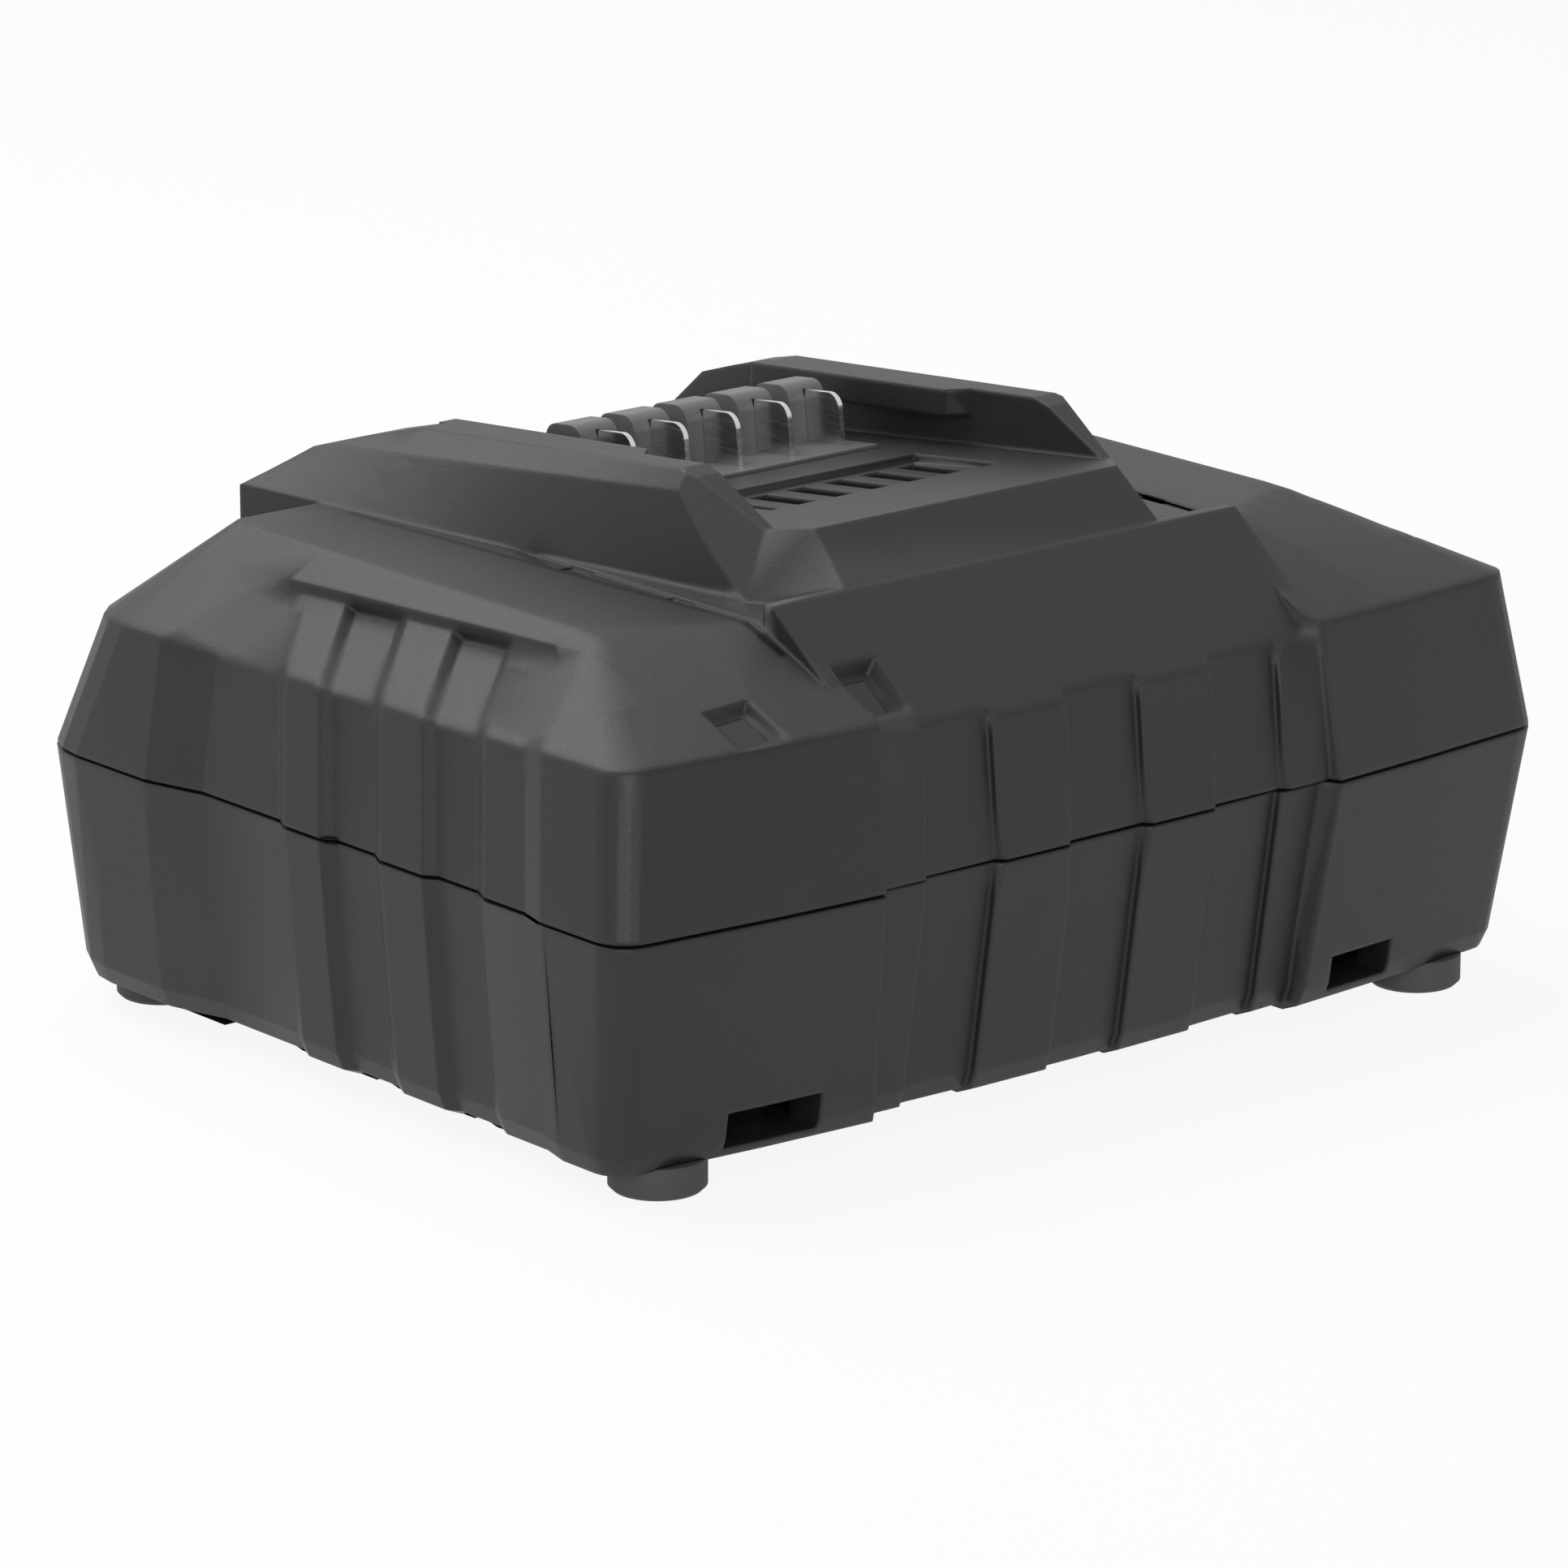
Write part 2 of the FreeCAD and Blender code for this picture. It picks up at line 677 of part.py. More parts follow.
def build_upper():
    recess = size("side_recess")
    rib_recess = size("side_rib_recess")
    plain = upper_body(0, 0, 0, 0)
    deep = upper_body(recess, 0, 0, 0.6)
    rib_level = upper_body(rib_recess, 0, 0, 0.3)
    field = side_field()
    fields = [field, mirrored(field)]
    ribs = side_ribs()
    outer = plain
    for f in fields:
        outer = outer.cut(f)
    side_parts = []
    for f, flip in ((fields[0], False), (fields[1], True)):
        side_parts.append(deep.common(f))
        for rib in ribs:
            band = mirrored(rib) if flip else rib
            side_parts.append(rib_level.common(f).common(band))
    outer = outer.fuse(side_parts)
    outer = outer.cut(middle_gap())
    middle = middle_solid(0.0, Z_PART, TALL)
    ribbed = middle_solid(size("front_rib_depth"), Z_PART, TALL)
    fronts = [middle]
    for band in rib_bands():
        fronts.append(ribbed.common(band))
    outer = outer.fuse(fronts + [saddle()]).removeSplitter()
    cavity = upper_body(recess + WALL, 3.4 + WALL, WALL, size("roof_thickness"))
    cavity = cavity.common(box(-FAR, FAR, -(size("middle_wall_top_front") - 2 * WALL), FAR, 0,
                               CEILING))
    slope = (deck_z(-size("deck_front")) - size("middle_wall_top")) / (
        size("middle_wall_top_front") - size("deck_front"))
    y_far = -FAR
    y_mid = -size("deck_front")
    under = [(y_mid, deck_z(y_mid) - 1.6 * WALL),
             (y_far, deck_z(y_mid) - 1.6 * WALL - slope * (y_mid - y_far)),
             (y_far, TALL), (y_mid, TALL)]
    cavity = cavity.cut(side_prism(under, -FAR, FAR))
    bosses = [rod(x, y, 0, TALL, size("boss_radius")) for x, y in boss_places()]
    cavity = cavity.cut(bosses)
    shell = outer.cut(cavity)
    # The seam shows as a thin gap, and the bosses meet across it
    gap = size("parting_gap") / 2.0
    below = box(-FAR, FAR, -FAR, FAR, 0, Z_PART + gap)
    columns = Part.makeCompound([rod(x, y, Z_PART, TALL, size("boss_radius"))
                                 for x, y in boss_places()])
    shell = shell.cut(below.cut(columns))
    pilot = size("screw_radius") + size("screw_play") / 2.0
    depth = Z_PART + size("screw_engagement") + 1.0
    holes = [rod(x, y, 0, depth, pilot) for x, y in boss_places()]
    holes += vent_pocket() + [terminal_seat(), window_cutter("left"), window_cutter("right")]
    return shell.cut(holes)


def build_lower():
    recess = size("side_recess")
    rib_recess = size("side_rib_recess")
    radius = size("bottom_radius")
    plain = lower_body(0, 0, 0, 0, radius)
    deep = lower_body(recess, 0, 0, 0, radius)
    rib_level = lower_body(rib_recess, 0, 0, 0, radius)
    middle_level = lower_body(0, size("front_centre") - size("middle_wall_front"), 0, 0, radius)
    middle_rib_level = lower_body(0, size("front_centre") - size("middle_wall_front")
                                  - size("front_rib_depth"), 0, 0, radius)
    field = side_field()
    outer = plain
    side_parts = []
    for f, flip in ((field, False), (mirrored(field), True)):
        outer = outer.cut(f)
        side_parts.append(deep.common(f))
        for rib in side_ribs():
            band = mirrored(rib) if flip else rib
            side_parts.append(rib_level.common(f).common(band))
    outer = outer.fuse(side_parts)
    gap_prism = middle_gap()
    outer = outer.cut(gap_prism)
    fronts = [middle_level.common(gap_prism)]
    for band in rib_bands():
        fronts.append(middle_rib_level.common(band).common(gap_prism))
    outer = outer.fuse(fronts).removeSplitter()
    cavity = lower_body(recess + WALL, size("front_centre") - size("middle_wall_front") + WALL, WALL,
                        WALL, 0)
    posts = [rod(x, y, 0, TALL, size("boss_radius")) for x, y in boss_places()]
    posts += [rod(x, y, 0, size("board_bottom"), size("standoff_radius"))
              for x, y in standoff_places()]
    shell = outer.cut(cavity.cut(posts))
    gap = size("parting_gap") / 2.0
    above = box(-FAR, FAR, -FAR, FAR, Z_PART - gap, TALL)
    columns = Part.makeCompound([rod(x, y, 0, Z_PART, size("boss_radius"))
                                 for x, y in boss_places()])
    shell = shell.cut(above.cut(columns))
    play = size("screw_play")
    head_top = Z_BOTTOM + size("screw_head_sink") + size("screw_head_height")
    holes = []
    for x, y in boss_places():
        holes.append(rod(x, y, 0, TALL, size("screw_radius") + play))
        holes.append(rod(x, y, 0, head_top, size("screw_head_radius") + play))
    for x, y in standoff_places():
        bottom = size("board_bottom") + size("board_thickness") - size("board_screw_length") - 0.4
        holes.append(rod(x, y, bottom, TALL, size("board_screw_radius") + play / 2.0))
    for x, y in foot_places():
        holes.append(rod(x, y, 0, Z_BOTTOM + size("foot_recess"), size("foot_radius") + play))
    holes += slot_cutters() + [inlet_seat()]
    return shell.cut(holes)


# Pieces made of bound features: every length below is an expression on the sheet

TOP = "(board_bottom + board_thickness)"
UNDERSIDE = "(roof_edge_height - roof_thickness)"
ALONG_Y = FreeCAD.Rotation(Vector(1, 0, 0), -90)


def bound(text):
    """The expression with each size name pointed at the sheet."""
    def point(match):
        word = match.group(0)
        return "Dimensions." + word if word in SIZES else word
    return re.sub(r"[a-z_]+", point, text)


def new_body(label, placement=None):
    body = keep(doc.addObject("PartDesign::Body", label), label)
    if placement is not None:
        body.Placement = placement
    return body


def feature(body, kind, sizes, corner, turn):
    obj = doc.addObject("PartDesign::" + kind, body.Name + "_" + kind)
    body.addObject(obj)
    if turn is not None:
        obj.Placement = FreeCAD.Placement(Vector(0, 0, 0), turn)
    for name, text in sizes.items():
        obj.setExpression(name, bound(text))
    for axis, text in zip("xyz", corner):
        obj.setExpression("Placement.Base." + axis, bound(text))
    return obj


def block(body, lengths, corner, cut=False, turn=None):
    kind = "SubtractiveBox" if cut else "AdditiveBox"
    return feature(body, kind, dict(zip(("Length", "Width", "Height"), lengths)), corner, turn)


def post(body, radius, height, base, cut=False, turn=None):
    kind = "SubtractiveCylinder" if cut else "AdditiveCylinder"
    return feature(body, kind, {"Radius": radius, "Height": height}, base, turn)


def soften(body, kind, base, prop, text, chosen):
    """Chamfer or fillet on the edges of a feature that the test picks."""
    doc.recompute()
    names = ["Edge%d" % n for n, edge in enumerate(base.Shape.Edges, start=1)
             if chosen(edge.BoundBox)]
    obj = doc.addObject("PartDesign::" + kind, body.Name + "_" + kind)
    body.addObject(obj)
    obj.Base = (base, names)
    obj.setExpression(prop, bound(text))
    return obj


def signed(side, text):
    return "%d * (%s)" % (side, text)


# Terminal block, in a frame that leans with the deck

LEAN = "sqrt(1 + deck_slope ^ 2)"


def deck_frame():
    angle = -math.degrees(math.atan(size("deck_slope")))
    return FreeCAD.Placement(Vector(0, 0, deck_z(0)), FreeCAD.Rotation(Vector(1, 0, 0), angle))


def along_deck(y):
    """Length along the deck that a plan position lies at."""
    return y * math.sqrt(1.0 + size("deck_slope") ** 2)


def terminal_seat():
    play = size("saddle_play")
    rim = size("plate_rim")
    half = size("plate_half_width") - rim + play
    seat = box(-half, half, along_deck(size("plate_front")) + rim - play,
               along_deck(size("plate_rear")) - rim + play, -size("blade_root"),
               size("terminal_room"))
    seat.Placement = deck_frame()
    return seat


def blade_left(number):
    """Left face of a contact, counted from the left."""
    return "(%d - (blade_count + 1) / 2) * blade_pitch - blade_thickness / 2" % number


def blade_envelope(body, number, cut):
    return block(body, ("blade_thickness", "blade_length",
                        "blade_root + plate_rise + blade_height"),
                 (blade_left(number), "blade_front * " + LEAN, "-blade_root"), cut)


def build_contact(number):
    """Upright contact: round nose at the front and a step down at the rear."""
    body = new_body("contact_blade_%d" % number, deck_frame())
    upright = blade_envelope(body, number, False)
    front = along_deck(size("blade_front"))
    top = size("plate_rise") + size("blade_height")
    soften(body, "Fillet", upright, "Radius", "blade_nose_radius",
           lambda b: b.YMax < front + 0.01 and b.ZMin > top - 0.01)
    block(body, ("blade_thickness", "blade_step_length", "blade_step"),
          (blade_left(number), "blade_front * %s + blade_length - blade_step_length" % LEAN,
           "plate_rise + blade_height - blade_step"), True)


def build_terminal_block():
    body = new_body("terminal_block", deck_frame())
    length = "(plate_rear - plate_front) * " + LEAN
    block(body, ("2 * plate_half_width", length, "plate_rise"),
          ("-plate_half_width", "plate_front * " + LEAN, "0"))
    block(body, ("2 * (plate_half_width - plate_rim)", length + " - 2 * plate_rim",
                 "blade_root"),
          ("plate_rim - plate_half_width", "plate_front * %s + plate_rim" % LEAN,
           "-blade_root"))
    count = int(size("blade_count"))
    for number in range(1, count + 1):
        block(body, ("post_width", "post_depth", "plate_rise + post_height"),
              ("(%d - (blade_count + 1) / 2) * blade_pitch - post_width / 2" % number,
               "post_front * " + LEAN, "0"))
    top = size("plate_rise") + size("post_height")
    soften(body, "Fillet", body.Tip, "Radius", "post_radius",
           lambda b: b.ZMin > top - 0.01 and b.XLength > 1.0)
    for number in range(1, count + 1):
        blade_envelope(body, number, True)


# Mains inlet: round-ended forms that run along Y

INLET_FACE = ("(rear_depth - rear_lean_bottom * (parting_height - inlet_z)"
              " / (parting_height - shell_bottom) + inlet_proud)")
BORE_END = INLET_FACE + " - inlet_bore_depth"


def capsule(body, width, height, start, length, cut=False):
    reach = "(%s) / 2 - (%s) / 2" % (width, height)
    for side in (-1, 1):
        if side < 0:
            post(body, "(%s) / 2" % height, length,
                 ("inlet_x - (%s)" % reach, start, "inlet_z"), cut, ALONG_Y)
            block(body, ("2 * (%s)" % reach, length, height),
                  ("inlet_x - (%s)" % reach, start, "inlet_z - (%s) / 2" % height), cut)
        else:
            post(body, "(%s) / 2" % height, length,
                 ("inlet_x + (%s)" % reach, start, "inlet_z"), cut, ALONG_Y)


def inlet_pin(body, side, cut):
    post(body, "inlet_pin_radius", "inlet_pin_root + inlet_pin_length",
         (signed(side, "inlet_pin_pitch / 2") + " + inlet_x", BORE_END + " - inlet_pin_root",
          "inlet_z"), cut, ALONG_Y)


def build_inlet():
    body = new_body("mains_inlet")
    capsule(body, "inlet_width", "inlet_height", INLET_FACE + " - inlet_depth", "inlet_depth")
    capsule(body, "(inlet_width + 2 * inlet_flange)", "(inlet_height + 2 * inlet_flange)",
            INLET_FACE + " - inlet_flange_thickness", "inlet_flange_thickness")
    capsule(body, "(inlet_width - 2 * inlet_wall)", "(inlet_height - 2 * inlet_wall)",
            BORE_END, "inlet_depth", True)
    for number, side in ((1, -1), (2, 1)):
        inlet_pin(body, side, True)
        inlet_pin(new_body("inlet_pin_%d" % number), side, False)


def round_ended(width, height, y0, y1):
    """Round-ended cutter about the axis of the inlet."""
    x = size("inlet_x")
    z = size("inlet_z")
    r = height / 2.0
    half = width / 2.0 - r
    ends = [Part.makeCylinder(r, y1 - y0, Vector(x + s * half, y0, z), Vector(0, 1, 0))
            for s in (-1, 1)]
    return box(x - half, x + half, y0, y1, z - r, z + r).fuse(ends)


def inlet_seat():
    """Stepped hole in the rear wall that the inlet and its flange sit in."""
    play = size("inlet_play")
    rim = size("inlet_flange") + play
    lean = size("rear_lean_bottom") * (Z_PART - size("inlet_z")) / (Z_PART - Z_BOTTOM)
    face = size("rear_depth") - lean + size("inlet_proud")
    width = size("inlet_width")
    height = size("inlet_height")
    hole = round_ended(width + 2 * play, height + 2 * play, face - size("inlet_depth"), FAR)
    ledge = round_ended(width + 2 * rim, height + 2 * rim,
                        face - size("inlet_flange_thickness"), FAR)
    return hole.fuse(ledge)


# Indicator lenses and light guides

def build_lens(kind):
    """Flat pane at the bottom of the window, in the frame of its slope."""
    body = new_body("indicator_lens_%s" % kind, window_frame(kind))
    inset = "window_bevel - 2 * window_ledge - 2 * lens_play"
    block(body, ("window_width - " + inset, "window_height - " + inset, "lens_thickness"),
          ("window_ledge + lens_play - window_width / 2",
           "window_ledge + lens_play - window_height / 2", "-window_depth - lens_thickness"))


def lens_back(kind):
    b = size("window_bevel")
    local = Vector(-b / 2.0, -b / 2.0, -size("window_depth") - size("lens_thickness"))
    return window_frame(kind).multVec(local)


def lamp_x(kind):
    return size("left_lamp_x") if kind == "left" else lens_back(kind).x


def guide_shape(kind):
    """Bent rod of clear plastic from the lamp on the board up to the lens."""
    r = size("guide_radius")
    top = lens_back(kind)
    normal = slope_frame(kind)[1]
    foot = Vector(lamp_x(kind), size("lamp_y"), BOARD_TOP + size("lamp_height"))
    knee = Vector(foot.x, foot.y, size("guide_bend_height") - 12.0)
    bend = top - normal * 4.0
    upper = Vector(bend.x, bend.y, bend.z)
    points = [foot, knee, upper, top]
    shape = None
    for a, b in zip(points, points[1:]):
        piece = Part.makeCylinder(r, (b - a).Length, a, b - a)
        shape = piece if shape is None else shape.fuse(piece)
    for p in points[1:-1]:
        shape = shape.fuse(Part.makeSphere(r, p))
    return shape


# Fan

def build_fan_frame():
    body = new_body("fan_frame")
    y_mid = "(plate_front - fan_clearance - fan_size / 2)"
    low = UNDERSIDE + " - fan_thickness"
    block(body, ("fan_size", "fan_size", "fan_thickness"),
          ("-fan_size / 2", y_mid + " - fan_size / 2", low))
    post(body, "fan_bore_radius", "fan_thickness", ("0", y_mid, low), True)
    for sx in (-1, 1):
        for sy in (-1, 1):
            post(body, "fan_hole_radius", "fan_thickness",
                 (signed(sx, "fan_hole_spacing / 2"),
                  y_mid + " + " + signed(sy, "fan_hole_spacing / 2"), low), True)
    for angle in (30, 150, 270):
        across = math.radians(angle)
        block(body, ("fan_bore_radius + 0.02 * fan_size", "fan_strut_width", "fan_strut_height"),
              ("%.6f * fan_strut_width" % (0.5 * math.sin(across)),
               y_mid + " - %.6f * fan_strut_width" % (0.5 * math.cos(across)), low),
              False, FreeCAD.Rotation(Vector(0, 0, 1), angle))
    post(body, "fan_hub_radius", "fan_strut_height", ("0", y_mid, low))
    post(body, "fan_bearing_radius", "fan_bearing_height", ("0", y_mid, low))
    post(body, "fan_shaft_radius + fan_shaft_play", "fan_thickness", ("0", y_mid, low), True)


def fan_rotor_shape():
    """Cup-shaped hub on a shaft with pitched blades."""
    z0 = FAN_BOTTOM + size("fan_strut_height") + size("fan_clearance")
    z1 = CEILING - size("fan_clearance")
    rim = size("fan_hub_wall")
    hub = rod(0, 0, z0, z1, size("fan_hub_radius"))
    hub = hub.cut(rod(0, 0, z0 - rim, z1 - rim, size("fan_hub_radius") - rim))
    shaft = rod(0, 0, FAN_BOTTOM + 0.5 * size("fan_clearance"), z1 - 0.5 * rim,
                size("fan_shaft_radius"))
    rotor = hub.fuse(shaft)
    inner = size("fan_hub_radius") - 0.5 * rim
    span = size("fan_tip_radius") - inner
    pitch = size("fan_blade_pitch_angle")
    thick = size("fan_blade_thickness")
    chord = (z1 - z0 - thick) / math.cos(math.radians(pitch))
    blade = Part.makeBox(span, thick, chord, Vector(inner, -thick / 2.0, -chord / 2.0))
    blade.rotate(Vector(0, 0, 0), Vector(1, 0, 0), pitch)
    blade.translate(Vector(0, 0, 0.5 * (z0 + z1)))
    sweep = rod(0, 0, z0, z1, size("fan_tip_radius")).cut(rod(0, 0, z0, z1, inner))
    blade = blade.common(sweep)
    count = int(size("fan_blade_count"))
    for i in range(count):
        copy = blade.copy()
        copy.rotate(Vector(0, 0, 0), Vector(0, 0, 1), 360.0 * i / count)
        rotor = rotor.fuse(copy)
    rotor.translate(Vector(0, FAN_Y, 0))
    return rotor


# Parts on the board

def build_core():
    body = new_body("transformer_core")
    block(body, ("core_width", "core_depth", "core_height"),
          ("core_x - core_width / 2", "core_y - core_depth / 2", TOP))
    for low in (TOP + " + core_leg / 2", TOP + " + core_height / 2 + core_leg / 2"):
        block(body, ("core_width - 2 * core_side", "core_depth", "core_height / 2 - core_leg"),
              ("core_x - core_width / 2 + core_side", "core_y - core_depth / 2", low), True)


def build_coil():
    """Winding round the middle leg, proud of the core at the front and rear."""
    body = new_body("transformer_coil")
    width = "core_width - 2 * core_side - 2 * coil_play"
    height = "(core_height - core_leg - 2 * coil_play)"
    middle = TOP + " + core_height / 2"
    outer = block(body, (width, "coil_depth", height),
                  ("core_x - core_width / 2 + core_side + coil_play", "core_y - coil_depth / 2",
                   middle + " - %s / 2" % height))
    soften(body, "Chamfer", outer, "Size", "coil_bevel", lambda b: b.XLength > 1.0)
    block(body, ("core_width", "core_depth + 2 * coil_play", "core_leg + 2 * coil_play"),
          ("core_x - core_width / 2", "core_y - core_depth / 2 - coil_play",
           middle + " - core_leg / 2 - coil_play"), True)


def build_sink(label, y_mid, side):
    """Upright plate with a comb of fins on one side."""
    body = new_body(label)
    left = "sink_x - sink_length / 2"
    block(body, ("sink_length", "sink_thickness", "sink_height"),
          (left, y_mid + " - sink_thickness / 2", TOP))
    start = y_mid if side > 0 else y_mid + " - sink_fin_depth"
    for i in range(int(size("sink_fin_count"))):
        step = "%d * (sink_length - sink_fin_thickness) / (sink_fin_count - 1)" % i
        block(body, ("sink_fin_thickness", "sink_fin_depth", "sink_height"),
              (left + " + " + step, start, TOP))


def build_capacitor():
    body = new_body("mains_capacitor")
    can = post(body, "bulk_radius", "bulk_height", ("bulk_x", "bulk_y", TOP))
    top = BOARD_TOP + size("bulk_height")
    soften(body, "Chamfer", can, "Size", "capacitor_bevel", lambda b: b.ZMin > top - 0.01)


def build_choke():
    body = new_body("line_choke")
    for radius, cut in (("choke_radius", False), ("choke_bore", True)):
        post(body, radius, "choke_height", ("choke_x", "choke_y", TOP), cut)


def fuse_cap(body, end, cut=False):
    start = "fuse_y - fuse_length / 2" if end < 0 else "fuse_y + fuse_length / 2 - fuse_cap_length"
    post(body, "fuse_cap_radius", "fuse_cap_length",
         ("fuse_x", start, TOP + " + fuse_lift + fuse_cap_radius"), cut, ALONG_Y)


def build_fuse():
    body = new_body("mains_fuse")
    post(body, "fuse_radius", "fuse_length",
         ("fuse_x", "fuse_y - fuse_length / 2", TOP + " + fuse_lift + fuse_cap_radius"),
         False, ALONG_Y)
    for number, end in ((1, -1), (2, 1)):
        fuse_cap(body, end)
        clip = new_body("fuse_clip_%d" % number)
        middle = "fuse_y + %d * (fuse_length - fuse_cap_length) / 2" % end
        block(clip, ("clip_width", "clip_length", "fuse_lift + fuse_cap_radius"),
              ("fuse_x - clip_width / 2", middle + " - clip_length / 2", TOP))
        fuse_cap(clip, end, True)


def standoff_texts():
    rows = []
    for y in ("standoff_inset - board_front", "board_rear - standoff_inset"):
        for side in (-1, 1):
            rows.append((signed(side, "board_half_width - standoff_inset"), y))
    return rows


def build_board():
    body = new_body("main_board")
    block(body, ("2 * board_half_width", "board_front + board_rear", "board_thickness"),
          ("-board_half_width", "-board_front", "board_bottom"))
    for x, y in standoff_texts():
        post(body, "board_screw_radius + screw_play", "board_thickness", (x, y, "board_bottom"),
             True)


# The pieces

shape_node(build_lower(), "lower_housing")
shape_node(build_upper(), "upper_housing")
build_terminal_block()
for number in range(1, int(size("blade_count")) + 1):
    build_contact(number)
for kind, lamp in (("left", "left_lamp_x"), ("right", "-right_window_x - window_bevel / 2")):
    build_lens(kind)
    shape_node(guide_shape(kind), "light_guide_%s" % kind)
    post(new_body("indicator_lamp_%s" % kind), "lamp_radius", "lamp_height",
         (lamp, "lamp_y", TOP))
build_board()
build_core()
build_coil()
build_capacitor()
build_sink("primary_heat_sink", "primary_sink_y", 1)
build_sink("output_heat_sink", "output_sink_y", -1)
build_choke()
build_fuse()
build_fan_frame()
shape_node(fan_rotor_shape(), "fan_rotor")
build_inlet()

number = 0
for sy in (-1, 1):
    for sx in (-1, 1):
        number += 1
        foot = new_body("foot_%d" % number)
        pad = post(foot, "foot_radius", "shell_bottom + foot_recess",
                   (signed(sx, "foot_x"), signed(sy, "foot_y"), "0"))
        soften(foot, "Chamfer", pad, "Size", "foot_chamfer", lambda b: b.ZMax < 0.01)
        screw = new_body("housing_screw_%d" % number)
        place = (signed(sx, "boss_x"), signed(sy, "boss_y"), "shell_bottom + screw_head_sink")
        post(screw, "screw_head_radius", "screw_head_height", place)
        post(screw, "screw_radius",
             "parting_height + screw_engagement - shell_bottom - screw_head_sink", place)
for number, (x, y) in enumerate(standoff_texts(), start=1):
    screw = new_body("board_screw_%d" % number)
    post(screw, "board_screw_head_radius", "board_screw_head_height", (x, y, TOP))
    post(screw, "board_screw_radius", "board_screw_length", (x, y, TOP + " - board_screw_length"))

doc.recompute()
for obj in doc.Objects:
    if "Invalid" in obj.State or "Error" in obj.State:
        raise RuntimeError("%s did not compute" % obj.Label)
for label, obj in nodes.items():
    if obj.Shape.isNull() or not obj.Shape.isValid():
        raise RuntimeError("%s has no valid shape" % label)
    if len(obj.Shape.Solids) != 1:
        raise RuntimeError("%s has %d solids" % (label, len(obj.Shape.Solids)))

os.makedirs("parts", exist_ok=True)
for label, obj in nodes.items():
    obj.Shape.exportStep("parts/%s.step" % label)
print("pieces", len(nodes))
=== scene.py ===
# Looks of the battery charger: materials, fine details, studio and camera.
import json
import math

import bmesh
import bpy
from mathutils import Matrix, Vector
from mathutils.bvhtree import BVHTree

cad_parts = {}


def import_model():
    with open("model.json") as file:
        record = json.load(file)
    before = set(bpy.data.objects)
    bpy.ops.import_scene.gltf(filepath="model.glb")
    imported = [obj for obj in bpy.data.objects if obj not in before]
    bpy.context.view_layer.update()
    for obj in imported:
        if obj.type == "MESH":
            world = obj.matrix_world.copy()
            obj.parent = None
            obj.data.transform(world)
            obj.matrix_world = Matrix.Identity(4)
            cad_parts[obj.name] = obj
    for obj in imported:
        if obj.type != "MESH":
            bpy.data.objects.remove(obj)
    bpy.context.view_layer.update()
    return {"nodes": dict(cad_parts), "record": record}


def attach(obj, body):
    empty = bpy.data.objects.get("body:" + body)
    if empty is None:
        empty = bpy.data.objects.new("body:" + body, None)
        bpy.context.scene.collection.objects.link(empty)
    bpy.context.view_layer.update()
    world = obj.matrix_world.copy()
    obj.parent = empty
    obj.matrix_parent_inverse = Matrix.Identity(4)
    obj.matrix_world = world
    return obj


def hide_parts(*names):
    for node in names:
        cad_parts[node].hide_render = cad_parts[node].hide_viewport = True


MM = 0.001

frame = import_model()
nodes = frame["nodes"]

# Camera, worked out from the photograph: azimuth, elevation, place and lens
CAMERA_AZIMUTH = math.radians(-40.23)
CAMERA_ELEVATION = math.radians(16.16)
CAMERA_PLACE = Vector((-686.6, -810.3, 337.0)) * MM
CAMERA_LENS = 184.2
SENSOR = 36.0

# Studio
FLOOR_HALF = 6.0
FLOOR_COLOUR = (0.92, 0.92, 0.92, 1.0)
FLOOR_GLOW = 0.90
WORLD_LEVEL = 0.25

# Rounding of the shoulder fold, in metres: its height and the band around it
FOLD_HEIGHT = 0.0572
FOLD_BAND = (0.0015, 0.0035)

# Linear colours
HOUSING = (0.015, 0.015, 0.016)
TERMINAL = (0.125, 0.125, 0.125)
LENS = (0.010, 0.010, 0.011)
RUBBER = (0.070, 0.070, 0.070)
METAL = (0.78, 0.77, 0.75)
INNER = (0.018, 0.018, 0.018)
BOARD = (0.012, 0.085, 0.030)
FERRITE = (0.035, 0.035, 0.038)
TAPE = (0.55, 0.38, 0.05)
SLEEVE = (0.012, 0.016, 0.05)
CLEAR = (0.85, 0.88, 0.90)
LAMP = (0.45, 0.60, 0.42)


def new_material(name):
    material = bpy.data.materials.new(name)
    material.use_nodes = True
    tree = material.node_tree
    tree.nodes.clear()
    out = tree.nodes.new("ShaderNodeOutputMaterial")
    shader = tree.nodes.new("ShaderNodeBsdfPrincipled")
    tree.links.new(shader.outputs["BSDF"], out.inputs["Surface"])
    coords = tree.nodes.new("ShaderNodeTexCoord")
    return material, tree, shader, coords


def noise(tree, coords, scale, detail=3.0, roughness=0.55):
    node = tree.nodes.new("ShaderNodeTexNoise")
    node.inputs["Scale"].default_value = scale
    node.inputs["Detail"].default_value = detail
    node.inputs["Roughness"].default_value = roughness
    tree.links.new(coords.outputs["Object"], node.inputs["Vector"])
    return node


def spread(tree, source, low, high):
    node = tree.nodes.new("ShaderNodeMapRange")
    node.inputs["From Min"].default_value = 0.25
    node.inputs["From Max"].default_value = 0.75
    node.inputs["To Min"].default_value = low
    node.inputs["To Max"].default_value = high
    tree.links.new(source.outputs["Fac"], node.inputs["Value"])
    return node


def tinted(tree, source, dark, light):
    ramp = tree.nodes.new("ShaderNodeValToRGB")
    ramp.color_ramp.elements[0].position = 0.3
    ramp.color_ramp.elements[0].color = (*dark, 1.0)
    ramp.color_ramp.elements[1].position = 0.7
    ramp.color_ramp.elements[1].color = (*light, 1.0)
    tree.links.new(source.outputs["Fac"], ramp.inputs["Fac"])
    return ramp


